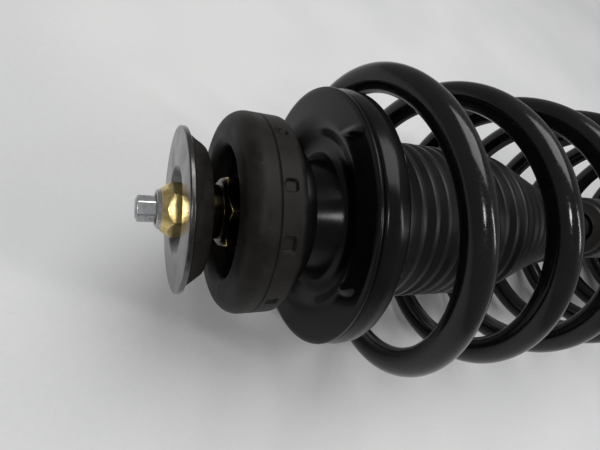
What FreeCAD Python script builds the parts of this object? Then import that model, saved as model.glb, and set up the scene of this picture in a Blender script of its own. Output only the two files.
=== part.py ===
"""A front suspension strut, lying on its side, ready to be bolted in.

The strut's axis is X. The origin is the middle of the rubber mount ring, where the strut hangs in the
body turret. -X is the top of the strut, with the rod tip and its nuts, and +X runs down past the
spring to the bracket that holds the steering knuckle. +Z is up. Sizes are millimetres and degrees,
and an angle is counted about +X from +Z.
"""

import FreeCAD
import Part
import Sketcher
import math
import os

doc = FreeCAD.newDocument("strut_assembly")
sheet = doc.addObject("Spreadsheet::Sheet", "Sizes")


class Size:
    """A number with the sheet expression that gives it, so that sizes can be added and halved."""

    def __init__(self, number, text):
        self.number = number
        self.text = text

    def __add__(self, other):
        return joined(self, "+", other, lambda a, b: a + b)

    def __radd__(self, other):
        return joined(other, "+", self, lambda a, b: a + b)

    def __sub__(self, other):
        return joined(self, "-", other, lambda a, b: a - b)

    def __rsub__(self, other):
        return joined(other, "-", self, lambda a, b: a - b)

    def __mul__(self, other):
        return joined(self, "*", other, lambda a, b: a * b)

    def __rmul__(self, other):
        return joined(other, "*", self, lambda a, b: a * b)

    def __truediv__(self, other):
        return joined(self, "/", other, lambda a, b: a / b)

    def __neg__(self):
        return joined(0, "-", self, lambda a, b: a - b)


def as_size(value):
    return value if isinstance(value, Size) else Size(float(value), str(value))


def joined(first, sign, second, work):
    a = as_size(first)
    b = as_size(second)
    return Size(work(a.number, b.number), "(" + a.text + " " + sign + " " + b.text + ")")


def cosine(angle):
    return Size(math.cos(math.radians(angle.number)), "cos(" + angle.text + ")")


def sine(angle):
    return Size(math.sin(math.radians(angle.number)), "sin(" + angle.text + ")")


def size(alias, number):
    """Writes one driving size in the next row of the sheet, and gives it back."""
    size.row += 1
    sheet.set("A" + str(size.row), alias)
    sheet.set("B" + str(size.row), str(number))
    sheet.setAlias("B" + str(size.row), alias)
    return Size(float(number), "Sizes." + alias)


size.row = 0

# Rod: chromed steel, turned down at the top for the thread, with a hexagon to hold it by.
rod_radius = size("rod_radius", 11.0)
thread_radius = size("thread_radius", 7.0)
tip_flats = size("tip_flats", 10.0)
tip_length = size("tip_length", 9.3)
stud_radius = size("stud_radius", 6.0)
running_gap = size("running_gap", 0.03)
bore_gap = size("bore_gap", 0.1)

# Rubber mount ring and the pressed steel core it is bonded to.
ring_radius = size("ring_radius", 45.6)
ring_front = size("ring_front", -12.5)
ring_back = size("ring_back", 11.5)
ring_mouth_radius = size("ring_mouth_radius", 29.5)
ring_front_round = size("ring_front_round", 8.0)
ring_mouth_round = size("ring_mouth_round", 3.5)
ring_back_round = size("ring_back_round", 3.0)
core_radius = size("core_radius", 34.0)
core_front = size("core_front", -2.0)
core_back = size("core_back", 20.5)
core_wall = size("core_wall", 2.5)
core_hole_radius = size("core_hole_radius", 16.0)

# Thrust ball bearing inside the core.
race_fit_gap = size("race_fit_gap", 0.05)
upper_race_height = size("upper_race_height", 6.0)
upper_race_hole_radius = size("upper_race_hole_radius", 17.5)
race_spacing = size("race_spacing", 3.0)
ball_radius = size("ball_radius", 3.0)
ball_circle_radius = size("ball_circle_radius", 24.5)
ball_groove_gap = size("ball_groove_gap", 0.15)
ball_count = 16
cage_thickness = size("cage_thickness", 1.6)
cage_inner_radius = size("cage_inner_radius", 20.0)
cage_outer_radius = size("cage_outer_radius", 29.0)
cage_pocket_gap = size("cage_pocket_gap", 0.25)
lower_race_height = size("lower_race_height", 6.0)
lower_race_radius = size("lower_race_radius", 30.0)
sleeve_front = size("sleeve_front", -4.5)
sleeve_radius = size("sleeve_radius", 12.5)
hub_radius = size("hub_radius", 20.0)
seal_gap = size("seal_gap", 0.6)
seal_thickness = size("seal_thickness", 2.3)
turning_gap = size("turning_gap", 1.0)

# Collar nut that clamps the bearing, rebound stop plate, and the top nut.
collar_nut_flats = size("collar_nut_flats", 30.0)
collar_nut_height = size("collar_nut_height", 8.0)
collar_nut_bevel = size("collar_nut_bevel", 2.4)
collar_radius = size("collar_radius", 12.2)
collar_length = size("collar_length", 10.0)
plate_radius = size("plate_radius", 35.8)
plate_thickness = size("plate_thickness", 2.5)
dish_depth = size("dish_depth", 6.4)
dish_floor_radius = size("dish_floor_radius", 13.8)
dish_mouth_radius = size("dish_mouth_radius", 19.0)
cone_base_radius = size("cone_base_radius", 33.6)
cone_tip_radius = size("cone_tip_radius", 29.0)
cone_height = size("cone_height", 8.4)
cone_hole_radius = size("cone_hole_radius", 22.0)
top_nut_flats = size("top_nut_flats", 21.0)
top_nut_height = size("top_nut_height", 12.0)
top_nut_bevel = size("top_nut_bevel", 4.4)
lock_ring_height = size("lock_ring_height", 2.2)
lock_ring_radius = size("lock_ring_radius", 9.0)
lock_ring_tip_radius = size("lock_ring_tip_radius", 7.8)
tip_recess = size("tip_recess", 1.5)
front_angle = size("front_angle", 25.0)
corner_angle = size("corner_angle", 30.0)

# Upper spring seat: a pressed plate with a raised hub, and a cup welded behind it.
seat_thickness = size("seat_thickness", 2.5)
seat_radius = size("seat_radius", 61.75)
seat_face = size("seat_face", 30.5)
hub_top_radius = size("hub_top_radius", 23.0)
trough_depth = size("trough_depth", 8.0)
trough_inner_radius = size("trough_inner_radius", 30.0)
trough_outer_radius = size("trough_outer_radius", 39.5)
step_width = size("step_width", 4.5)
cup_radius = size("cup_radius", 62.3)
cup_depth = size("cup_depth", 12.5)
cup_wall = size("cup_wall", 2.0)
cup_hole_radius = size("cup_hole_radius", 46.0)
cup_taper = size("cup_taper", 2.7)
isolator_thickness = size("isolator_thickness", 2.1)
washer_thickness = size("washer_thickness", 3.0)
washer_radius = size("washer_radius", 19.0)

# Coil spring.
wire_radius = size("wire_radius", 7.07)
coil_radius = size("coil_radius", 72.6)
coil_end_radius = size("coil_end_radius", 54.0)
coil_pitch = size("coil_pitch", 52.2)
coil_start_angle = size("coil_start_angle", -65.0)
coil_lean = size("coil_lean", 2.4)
coil_lean_angle = size("coil_lean_angle", 115.0)
coil_upper_closed = size("coil_upper_closed", 0.42)
coil_lower_closed = size("coil_lower_closed", 0.75)
coil_seat_gap = size("coil_seat_gap", 0.1)
lower_seat_face = size("lower_seat_face", 446.0)

# Bump stop and dust boot.
stop_length = size("stop_length", 88.0)
stop_radius = size("stop_radius", 23.0)
stop_neck_radius = size("stop_neck_radius", 19.0)
stop_neck_length = size("stop_neck_length", 13.0)
stop_groove_depth = size("stop_groove_depth", 4.0)
stop_bore_gap = size("stop_bore_gap", 0.6)
boot_radius = size("boot_radius", 42.0)
boot_straight_length = size("boot_straight_length", 97.0)
boot_length = size("boot_length", 162.5)
boot_end_radius = size("boot_end_radius", 26.0)
boot_collar_length = size("boot_collar_length", 13.0)
boot_wall = size("boot_wall", 1.8)
boot_fold_depth = size("boot_fold_depth", 3.6)
boot_flange_height = size("boot_flange_height", 3.0)
boot_flange_hole_radius = size("boot_flange_hole_radius", 30.0)
boot_fold_count = 18
boot_taper_fold_count = 6

# Damper: reserve tube, pressure tube, rod guide, seal, piston and foot valve.
tube_top = size("tube_top", 258.5)
tube_bottom = size("tube_bottom", 588.0)
tube_radius = size("tube_radius", 22.5)
tube_wall = size("tube_wall", 2.0)
tube_lip_radius = size("tube_lip_radius", 15.0)
tube_round = size("tube_round", 1.6)
cap_height = size("cap_height", 4.5)
cap_radius = size("cap_radius", 20.3)
cap_round = size("cap_round", 2.0)
seal_height = size("seal_height", 6.0)
guide_height = size("guide_height", 17.5)
spigot_height = size("spigot_height", 4.0)
bushing_wall = size("bushing_wall", 1.6)
bushing_inset = size("bushing_inset", 1.5)
pressure_radius = size("pressure_radius", 15.0)
pressure_wall = size("pressure_wall", 1.5)
bumper_height = size("bumper_height", 7.5)
bumper_radius = size("bumper_radius", 14.2)
bumper_gap = size("bumper_gap", 0.5)
stop_ring_height = size("stop_ring_height", 4.0)
piston_start = size("piston_start", 330.0)
piston_height = size("piston_height", 16.0)
piston_gap = size("piston_gap", 0.4)
band_height = size("band_height", 9.0)
band_wall = size("band_wall", 1.2)
disc_stack_height = size("disc_stack_height", 2.0)
disc_stack_radius = size("disc_stack_radius", 12.0)
piston_nut_flats = size("piston_nut_flats", 17.0)
piston_nut_height = size("piston_nut_height", 9.0)
stud_spare = size("stud_spare", 3.0)
passage_radius = size("passage_radius", 1.4)
passage_circle_radius = size("passage_circle_radius", 9.5)
passage_count = 8
foot_valve_height = size("foot_valve_height", 20.0)
foot_cap_height = size("foot_cap_height", 6.0)

# Lower spring seat, its rubber, and the brackets welded to the tube.
lower_seat_radius = size("lower_seat_radius", 84.0)
lower_seat_thickness = size("lower_seat_thickness", 3.0)
lower_seat_lip = size("lower_seat_lip", 9.0)
lower_seat_hub_height = size("lower_seat_hub_height", 16.0)
lower_seat_dip = size("lower_seat_dip", 7.0)
lower_dip_radius = size("lower_dip_radius", 46.0)
lower_floor_radius = size("lower_floor_radius", 58.0)
lower_isolator_thickness = size("lower_isolator_thickness", 3.5)
bracket_length = size("bracket_length", 96.0)
bracket_thickness = size("bracket_thickness", 4.5)
bracket_reach = size("bracket_reach", 66.0)
bracket_corner_round = size("bracket_corner_round", 8.0)
bolt_radius = size("bolt_radius", 6.1)
bolt_spacing = size("bolt_spacing", 58.0)
bolt_reach = size("bolt_reach", 48.0)
hose_plate_start = size("hose_plate_start", 468.0)
hose_plate_thickness = size("hose_plate_thickness", 3.0)
hose_plate_width = size("hose_plate_width", 26.0)
hose_plate_reach = size("hose_plate_reach", 56.0)
hose_plate_round = size("hose_plate_round", 9.0)
hose_hole_radius = size("hose_hole_radius", 6.5)
hose_hole_reach = size("hose_hole_reach", 43.0)
doc.recompute()

# Places along the strut that follow from the sizes above.
collar_nut_front = sleeve_front - collar_nut_height - collar_length
dish_floor = collar_nut_front - plate_thickness
plate_front = dish_floor - dish_depth
nut_shoulder = dish_floor - top_nut_height
nut_front = nut_shoulder - lock_ring_height
tip_start = nut_front + tip_recess
rod_tip = tip_start - tip_length
upper_race_front = core_front + core_wall
upper_race_back = upper_race_front + upper_race_height
ball_middle = upper_race_back + race_spacing / 2
lower_race_front = upper_race_back + race_spacing
lower_race_back = lower_race_front + lower_race_height
hub_face = core_back + turning_gap
hub_back = hub_face + seat_thickness
rod_shoulder = hub_back + washer_thickness
seat_back = seat_face + seat_thickness
trough_floor = seat_face + trough_depth
trough_back = trough_floor + seat_thickness
cup_back = seat_back + cup_depth
spring_upper_face = cup_back + isolator_thickness
spring_lower_face = lower_seat_face - lower_isolator_thickness
tube_inside = tube_radius - tube_wall
seal_start = tube_top + tube_wall
guide_start = seal_start + seal_height
guide_back = guide_start + guide_height
bumper_start = guide_back + spigot_height + bumper_gap
stop_ring_start = bumper_start + bumper_height
piston_back = piston_start + piston_height
piston_nut_start = piston_back + disc_stack_height
rod_end = piston_nut_start + piston_nut_height + stud_spare
foot_cap_start = tube_bottom - foot_cap_height
foot_valve_start = foot_cap_start - foot_valve_height
bracket_start = tube_bottom - bracket_length
bracket_outside = tube_radius + bracket_thickness


def new_body(label):
    body = doc.addObject("PartDesign::Body", label)
    body.Label = label
    body.Placement = FreeCAD.Placement()
    return body


def sketch_on(body, name, role, offset=None):
    """A sketch on one of the body's own planes: XZ_Plane shows X across and radius up."""
    plane = [p for p in body.Origin.OriginFeatures if p.Role == role][0]
    sketch = body.newObject("Sketcher::SketchObject", name)
    sketch.AttachmentSupport = [(plane, "")]
    sketch.MapMode = "FlatFace"
    if offset is not None:
        sketch.setExpression("AttachmentOffset.Base.z", as_size(offset).text)
    return sketch


def hold_point(sketch, line, name, point):
    """Ties the start of a line to a place measured from the sketch's origin."""
    for kind, value in (("DistanceX", as_size(point[0])), ("DistanceY", as_size(point[1]))):
        place = sketch.addConstraint(Sketcher.Constraint(kind, -1, 1, line, 1, value.number))
        sketch.renameConstraint(place, name + kind)
        sketch.setExpression("Constraints." + name + kind, value.text)


def draw_outline(sketch, points):
    """A closed outline of straight lines through the points, each held by its two sizes."""
    corners = [FreeCAD.Vector(as_size(a).number, as_size(b).number, 0) for a, b in points]
    count = len(points)
    for i in range(count):
        sketch.addGeometry(Part.LineSegment(corners[i], corners[(i + 1) % count]), False)
    for i in range(count):
        sketch.addConstraint(Sketcher.Constraint("Coincident", i, 2, (i + 1) % count, 1))
    for i in range(count):
        hold_point(sketch, i, "p" + str(i), points[i])


def draw_circle(sketch, centre, radius):
    """A circle at a held centre."""
    x, y = as_size(centre[0]), as_size(centre[1])
    middle = FreeCAD.Vector(x.number, y.number, 0)
    number = sketch.addGeometry(Part.Circle(middle, FreeCAD.Vector(0, 0, 1), radius.number), False)
    for kind, value in (("DistanceX", x), ("DistanceY", y)):
        place = sketch.addConstraint(Sketcher.Constraint(kind, -1, 1, number, 3, value.number))
        sketch.renameConstraint(place, "c" + str(number) + kind)
        sketch.setExpression("Constraints.c" + str(number) + kind, value.text)
    place = sketch.addConstraint(Sketcher.Constraint("Radius", number, radius.number))
    sketch.renameConstraint(place, "c" + str(number) + "Radius")
    sketch.setExpression("Constraints.c" + str(number) + "Radius", radius.text)


def turn(body, name, outline):
    """Adds a solid of revolution about the strut's axis from an outline of (x, radius) points."""
    sketch = sketch_on(body, name + "_outline", "XZ_Plane")
    draw_outline(sketch, outline)
    solid = body.newObject("PartDesign::Revolution", name)
    solid.Profile = sketch
    solid.ReferenceAxis = (sketch, ["H_Axis"])
    solid.Angle = 360
    doc.recompute()
    return solid


def turned_body(label, outline):
    body = new_body(label)
    turn(body, label + "_turning", outline)
    return body


def cut_groove(body, name, draw):
    """Cuts all round the strut's axis, with the section that draw makes in the sketch."""
    before = body.Shape.Volume
    sketch = sketch_on(body, name + "_section", "XZ_Plane")
    draw(sketch)
    groove = body.newObject("PartDesign::Groove", name)
    groove.Profile = sketch
    groove.ReferenceAxis = (sketch, ["H_Axis"])
    groove.Angle = 360
    doc.recompute()
    if body.Shape.Volume >= before:
        raise RuntimeError(name + " cut nothing")


def add_pad(body, name, start, length, draw):
    """Adds a prism along +X from a section drawn across the strut: sketch x is +Y and y is +Z."""
    sketch = sketch_on(body, name + "_section", "YZ_Plane", start)
    draw(sketch)
    pad = body.newObject("PartDesign::Pad", name)
    pad.Profile = sketch
    pad.setExpression("Length", as_size(length).text)
    doc.recompute()
    return pad


def cut_pocket(body, name, start, length, draw):
    """Cuts a prism along +X, from start over length, out of the body."""
    before = body.Shape.Volume
    sketch = sketch_on(body, name + "_section", "YZ_Plane", start)
    draw(sketch)
    pocket = body.newObject("PartDesign::Pocket", name)
    pocket.Profile = sketch
    pocket.Reversed = True
    pocket.setExpression("Length", as_size(length).text)
    doc.recompute()
    if body.Shape.Volume >= before:
        raise RuntimeError(name + " cut nothing")
    return pocket


def repeat_round(body, name, feature, count):
    """Repeats a feature evenly round the strut's axis."""
    axis = [a for a in body.Origin.OriginFeatures if a.Role == "X_Axis"][0]
    pattern = body.newObject("PartDesign::PolarPattern", name)
    pattern.Originals = [feature]
    pattern.Axis = (axis, [""])
    pattern.Angle = 360
    pattern.Occurrences = count
    body.Tip = pattern
    doc.recompute()
    return pattern


def hexagon(flats, first_corner):
    """The corners of a hexagon of that width across flats, one corner at the given angle."""
    corner_radius = flats / 2 / cosine(corner_angle)
    corners = []
    for i in range(6):
        angle = first_corner + 60 * i
        corners.append((-(corner_radius * sine(angle)), corner_radius * cosine(angle)))
    return corners


def bevel_corners(body, name, end, flats, height, inward):
    """Cuts a hexagon's corners back at one end, as on any nut. inward is the way to its other end."""
    corner = flats / 2 / cosine(corner_angle) + 0.5
    flat = flats * 0.49

    def section(sketch):
        draw_outline(sketch, [(end, flat), (end, corner), (end + inward * height, corner)])

    cut_groove(body, name, section)


def add_fillet(body, name, radius, edges, count):
    """Rounds the named edges of the body's latest shape."""
    if len(edges) < count:
        raise RuntimeError(name + " found too few edges")
    rounded = body.Tip
    fillet = body.newObject("PartDesign::Fillet", name)
    fillet.Base = (rounded, edges)
    fillet.setExpression("Radius", as_size(radius).text)
    doc.recompute()


def round_edges(body, name, radius, places):
    """Rounds the circular edges that lie at the given (x, radius) places."""
    wanted = [(as_size(x).number, as_size(r).number) for x, r in places]
    edges = []
    for i, edge in enumerate(body.Shape.Edges):
        if not isinstance(edge.Curve, Part.Circle):
            continue
        for x, r in wanted:
            if abs(edge.Curve.Radius - r) < 0.01 and abs(edge.Curve.Center.x - x) < 0.01:
                edges.append("Edge" + str(i + 1))
    add_fillet(body, name, radius, edges, len(places))


def tube_section(start, end, inner, outer):
    return [(start, inner), (start, outer), (end, outer), (end, inner)]


def piston_rod():
    """The chromed rod: tip hexagon, thread, shoulder, shank, and the stud that carries the piston."""
    chamfer = 0.8
    body = turned_body("piston_rod", [
        (tip_start, 0),
        (tip_start, thread_radius),
        (rod_shoulder, thread_radius),
        (rod_shoulder, rod_radius),
        (piston_start - disc_stack_height, rod_radius),
        (piston_start - disc_stack_height, stud_radius),
        (rod_end, stud_radius),
        (rod_end, 0),
    ])
    corners = hexagon(tip_flats, front_angle + corner_angle)
    add_pad(body, "tip_hexagon", rod_tip, tip_length + 1, lambda s: draw_outline(s, corners))
    bevel_corners(body, "tip_bevel", rod_tip, tip_flats, chamfer, 1)
    return body


def nut(label, base, height, flats, first_corner, bevel, collar):
    """A threaded hexagon nut with its base towards +X and a turned collar on its -X end."""
    body = turned_body(label, collar)
    front = base - height
    corners = hexagon(flats, first_corner)
    add_pad(body, label + "_hexagon", front, height, lambda s: draw_outline(s, corners))
    cut_pocket(body, label + "_thread", front, height, lambda s: draw_circle(s, (0, 0), thread_radius))
    bevel_corners(body, label + "_front_bevel", front, flats, bevel, 1)
    bevel_corners(body, label + "_base_bevel", base, flats, flats * 0.045, -1)
    return body


def top_nut():
    """Self-locking nut at the very top: hexagon with a crimped lock ring, one flat to the front."""
    first_corner = front_angle + corner_angle
    return nut("top_nut", dish_floor, top_nut_height, top_nut_flats, first_corner, top_nut_bevel, [
        (nut_front, thread_radius),
        (nut_front, lock_ring_tip_radius),
        (nut_shoulder, lock_ring_radius),
        (dish_floor, lock_ring_radius),
        (dish_floor, thread_radius),
    ])


def collar_nut():
    """Nut with a long round collar that clamps the bearing sleeve on the rod, one corner to the front."""
    height = collar_nut_height
    return nut("collar_nut", sleeve_front, height, collar_nut_flats, front_angle, collar_nut_bevel, [
        (collar_nut_front, thread_radius),
        (collar_nut_front, collar_radius),
        (sleeve_front, collar_radius),
        (sleeve_front, thread_radius),
    ])


def stop_plate():
    """Pressed steel rebound plate, dished in the middle so that its nut sits low."""
    floor_back_radius = dish_floor_radius + 1.2
    body = turned_body("stop_plate", [
        (dish_floor, thread_radius + bore_gap),
        (dish_floor, dish_floor_radius),
        (plate_front, dish_mouth_radius),
        (plate_front, plate_radius),
        (plate_front + plate_thickness, plate_radius),
        (plate_front + plate_thickness, dish_mouth_radius + 1.2),
        (dish_floor + plate_thickness, floor_back_radius),
        (dish_floor + plate_thickness, thread_radius + bore_gap),
    ])
    round_edges(body, "dish_edge_round", plate_thickness * 0.8, [(plate_front, dish_mouth_radius)])
    round_edges(body, "plate_edge_round", plate_thickness * 0.3, [(plate_front, plate_radius)])
    return body


def stop_plate_rubber():
    """Rubber buffer ring bonded to the back of the stop plate, tapering towards the mount."""
    base = plate_front + plate_thickness
    body = turned_body("stop_plate_rubber", [
        (base, cone_hole_radius),
        (base, cone_base_radius),
        (base + cone_height, cone_tip_radius),
        (base + cone_height, cone_hole_radius),
    ])
    round_edges(body, "buffer_round", 1.5, [(base + cone_height, cone_tip_radius)])
    return body


def mount_rubber():
    """The thick rubber ring that sits in the body turret, moulded round the steel core."""
    body = turned_body("mount_rubber", [
        (ring_front, ring_mouth_radius),
        (ring_front, ring_radius),
        (ring_back, ring_radius),
        (ring_back, core_radius),
        (core_front, core_radius),
        (core_front, ring_mouth_radius),
    ])
    round_edges(body, "ring_front_rounding", ring_front_round, [(ring_front, ring_radius)])
    round_edges(body, "ring_mouth_rounding", ring_mouth_round, [(ring_front, ring_mouth_radius)])
    round_edges(body, "ring_back_rounding", ring_back_round, [(ring_back, ring_radius)])
    return body


def mount_core():
    """Pressed steel cup inside the rubber ring. It houses the bearing and shows behind the ring."""
    return turned_body("mount_core", [
        (core_front, core_hole_radius),
        (core_front, core_radius),
        (core_back, core_radius),
        (core_back, core_radius - core_wall),
        (core_front + core_wall, core_radius - core_wall),
        (core_front + core_wall, core_hole_radius),
    ])


def ball_groove(body, name):
    groove_radius = ball_radius + ball_groove_gap
    cut_groove(body, name, lambda s: draw_circle(s, (ball_middle, ball_circle_radius), groove_radius))


def bearing_upper_race():
    """Hardened ring pressed into the core above the balls."""
    outside = core_radius - core_wall - race_fit_gap
    body = turned_body(
        "bearing_upper_race",
        tube_section(upper_race_front, upper_race_back, upper_race_hole_radius, outside),
    )
    ball_groove(body, "upper_ball_groove")
    return body


def bearing_lower_race():
    """Ring below the balls, in one piece with the sleeve that the collar nut clamps on the rod."""
    bore = thread_radius + bore_gap
    body = turned_body("bearing_lower_race", [
        (sleeve_front, bore),
        (sleeve_front, sleeve_radius),
        (lower_race_front, sleeve_radius),
        (lower_race_front, lower_race_radius),
        (lower_race_back, lower_race_radius),
        (lower_race_back, hub_radius),
        (hub_face, hub_radius),
        (hub_face, bore),
    ])
    ball_groove(body, "lower_ball_groove")
    return body


def bearing_cage():
    """Thin ring that spaces the balls, with one pocket for each."""
    start = ball_middle - cage_thickness / 2
    end = start + cage_thickness
    outline = tube_section(start, end, cage_inner_radius, cage_outer_radius)
    body = turned_body("bearing_cage", outline)
    pocket_radius = ball_radius + cage_pocket_gap
    pocket = cut_pocket(
        body, "ball_pocket", start - 1, cage_thickness + 2,
        lambda s: draw_circle(s, (0, ball_circle_radius), pocket_radius),
    )
    repeat_round(body, "ball_pockets", pocket, ball_count)
    return body


def bearing_balls():
    """The steel balls, evenly spaced round the bearing."""
    balls = []
    for i in range(ball_count):
        ball = doc.addObject("Part::Sphere", "ball_" + str(i))
        angle = as_size(360.0 * i / ball_count)
        ball.setExpression("Radius", ball_radius.text)
        ball.setExpression("Placement.Base.x", ball_middle.text)
        ball.setExpression("Placement.Base.y", (-(ball_circle_radius * sine(angle))).text)
        ball.setExpression("Placement.Base.z", (ball_circle_radius * cosine(angle)).text)
        balls.append(ball)
    group = doc.addObject("Part::Compound", "bearing_balls")
    group.Label = "bearing_balls"
    group.Links = balls
    doc.recompute()
    return group


def bearing_seal():
    """Rubber ring pressed into the core's open end, which keeps dirt out of the bearing."""
    start = lower_race_back + seal_gap
    outside = core_radius - core_wall - race_fit_gap
    end = start + seal_thickness
    return turned_body("bearing_seal", tube_section(start, end, hub_radius + seal_gap, outside))


def upper_spring_seat():
    """Pressed plate: hub clamped under the bearing, trough round it, and a wide flat rim."""
    bore = thread_radius + bore_gap
    body = turned_body("upper_spring_seat", [
        (hub_face, bore),
        (hub_face, hub_top_radius),
        (trough_floor, trough_inner_radius),
        (trough_floor, trough_outer_radius),
        (seat_face, trough_outer_radius + step_width),
        (seat_face, seat_radius),
        (seat_back, seat_radius),
        (seat_back, trough_outer_radius + step_width + 1.5),
        (trough_back, trough_outer_radius + 1.5),
        (trough_back, trough_inner_radius - 2.5),
        (hub_back, hub_top_radius - 2.2),
        (hub_back, bore),
    ])
    round_edges(body, "seat_step_round", seat_thickness, [(seat_face, trough_outer_radius + step_width)])
    round_edges(body, "seat_hub_round", seat_thickness * 0.8, [(hub_face, hub_top_radius)])
    return body


def spring_cup():
    """Pressed ring welded behind the seat plate. Its side wall keeps the spring's rubber in place."""
    wall_start = cup_radius - cup_taper
    return turned_body("spring_cup", [
        (seat_back, cup_hole_radius),
        (seat_back, wall_start),
        (seat_back + cup_depth * 0.12, wall_start + cup_taper * 0.4),
        (seat_back + cup_depth * 0.5, wall_start + cup_taper * 0.9),
        (cup_back, cup_radius),
        (cup_back, cup_radius - cup_wall),
        (seat_back + cup_depth * 0.5, cup_radius - cup_wall - cup_taper * 0.1),
        (seat_back + cup_wall, wall_start - cup_wall),
        (seat_back + cup_wall, cup_hole_radius),
    ])


def upper_spring_isolator():
    """Rubber ring in the cup, between the pressed steel and the first coil."""
    inside = cup_hole_radius + 0.5
    outside = cup_radius - cup_taper - cup_wall - 0.3
    return turned_body("upper_spring_isolator", [
        (seat_back + cup_wall, inside),
        (seat_back + cup_wall, outside),
        (cup_back - 1, outside + cup_taper * 0.7),
        (spring_upper_face, outside + cup_taper * 0.7),
        (spring_upper_face, inside),
    ])


def stop_washer():
    """Thick washer between the seat's hub and the rod's shoulder. The bump stop hangs from it."""
    outline = tube_section(hub_back, rod_shoulder, thread_radius + bore_gap, washer_radius)
    return turned_body("stop_washer", outline)


def bump_stop():
    """Foam buffer on the rod, with waists that let it fold as it is crushed."""
    bore = rod_radius + stop_bore_gap
    neck_end = rod_shoulder + stop_neck_length
    ring = (stop_length - stop_neck_length) / 3
    points = [(rod_shoulder, bore), (rod_shoulder, stop_neck_radius), (neck_end, stop_neck_radius)]
    for i in range(3):
        start = neck_end + ring * i
        points.append((start + ring * 0.25, stop_radius - i))
        points.append((start + ring * 0.75, stop_radius - i))
        points.append((start + ring, stop_radius - stop_groove_depth - i))
    points.append((neck_end + ring * 3, bore))
    return turned_body("bump_stop", points)


def boot_points():
    """The crests and valleys of the boot as (x, radius), from its flange to its end collar."""
    start = trough_back + boot_flange_height
    straight = (boot_straight_length - boot_flange_height) / (boot_fold_count - boot_taper_fold_count)
    collar_start = trough_back + boot_length - boot_collar_length
    taper_start = trough_back + boot_straight_length
    taper = (collar_start - taper_start) / boot_taper_fold_count
    drop = (boot_radius - boot_end_radius) / boot_taper_fold_count
    points = []
    for i in range(boot_fold_count - boot_taper_fold_count):
        fold = start + straight * i
        points.append((fold + straight * 0.2, boot_radius))
        points.append((fold + straight * 0.6, boot_radius))
        points.append((fold + straight * 0.8, boot_radius - boot_fold_depth))
    for i in range(boot_taper_fold_count):
        fold = taper_start + taper * i
        crest = boot_radius - drop * i
        points.append((fold + taper * 0.2, crest))
        points.append((fold + taper * 0.55, crest - drop * 0.3))
        points.append((fold + taper * 0.8, crest - drop * 0.6 - boot_fold_depth * 0.4))
    return points, collar_start


def dust_boot():
    """Thin moulded bellows that hangs from the seat round the bump stop and slides over the tube."""
    folds, collar_start = boot_points()
    end = trough_back + boot_length
    outer = [(trough_back, boot_flange_hole_radius), (trough_back, boot_radius - 1)]
    outer += [(trough_back + boot_flange_height, boot_radius - boot_fold_depth)]
    outer += folds
    outer += [(collar_start, boot_end_radius), (end, boot_end_radius)]
    inner = [(end, boot_end_radius - boot_wall), (collar_start, boot_end_radius - boot_wall)]
    inner += [(x, r - boot_wall) for x, r in reversed(folds)]
    inner += [(trough_back + boot_flange_height, boot_flange_hole_radius)]
    return turned_body("dust_boot", outer + inner)


def coil_line():
    """Points along the middle of the wire.

    The ends lie flat, the upper end winds in, and the whole spring leans a little to one side.
    """
    ramp = 0.1
    flat_x = spring_upper_face.number + wire_radius.number + coil_seat_gap.number
    end_x = spring_lower_face.number - wire_radius.number - coil_seat_gap.number
    pitch = coil_pitch.number
    lower_turn = (end_x - flat_x) / pitch
    first = -coil_upper_closed.number
    last = lower_turn + coil_lower_closed.number
    steps = int(round((last - first) * 24))

    def climbed(turn):
        """How far the wire has climbed at a turn whose slope begins, over a short ramp, at turn 0."""
        if turn <= -ramp:
            return 0.0
        if turn >= ramp:
            return pitch * turn
        return pitch * (turn + ramp) ** 2 / (4 * ramp)

    points = []
    for i in range(steps + 1):
        turn = first + (last - first) * i / steps
        x = flat_x + climbed(turn) - climbed(turn - lower_turn)
        drawn_in = min(1.0, max(0.0, (0.08 - turn) / (0.08 - first)))
        drawn_in = drawn_in * drawn_in * (3 - 2 * drawn_in)
        radius = coil_radius.number + (coil_end_radius.number - coil_radius.number) * drawn_in
        angle = math.radians(coil_start_angle.number) + 2 * math.pi * turn
        lean = coil_lean.number * (end_x - x) / (end_x - flat_x)
        side = math.radians(coil_lean_angle.number)
        y = -radius * math.sin(angle) - lean * math.sin(side)
        z = radius * math.cos(angle) + lean * math.cos(side)
        points.append(FreeCAD.Vector(x, y, z))
    return points


def coil_spring():
    """The steel spring: a round wire swept along its wound line."""
    points = coil_line()
    curve = Part.BSplineCurve()
    curve.interpolate(points)
    path = Part.Wire([curve.toShape()])
    start_way = curve.tangent(curve.FirstParameter)[0]
    section = Part.Wire([Part.makeCircle(wire_radius.number, points[0], start_way)])
    wire = path.makePipeShell([section], True, True)
    spring = doc.addObject("Part::Feature", "coil_spring")
    spring.Label = "coil_spring"
    spring.Shape = wire
    spring.Placement = FreeCAD.Placement()
    return spring


def damper_tube():
    """The outer tube, rolled in over the seal at its top."""
    body = turned_body("damper_tube", [
        (tube_top, tube_lip_radius),
        (tube_top, tube_radius),
        (tube_bottom, tube_radius),
        (tube_bottom, tube_inside),
        (tube_top + tube_wall, tube_inside),
        (tube_top + tube_wall, tube_lip_radius),
    ])
    round_edges(body, "tube_rolled_edge", tube_round, [(tube_top, tube_radius)])
    return body


def tube_cap():
    """Plate on the tube's top that the bump stop strikes."""
    start = tube_top - cap_height
    outline = tube_section(start, tube_top, rod_radius + 1, cap_radius)
    body = turned_body("tube_cap", outline)
    round_edges(body, "cap_rounding", cap_round, [(start, cap_radius)])
    return body


def rod_seal():
    """Oil seal under the tube's rolled lip."""
    inside = rod_radius + running_gap
    return turned_body("rod_seal", tube_section(seal_start, guide_start, inside, tube_inside))


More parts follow.
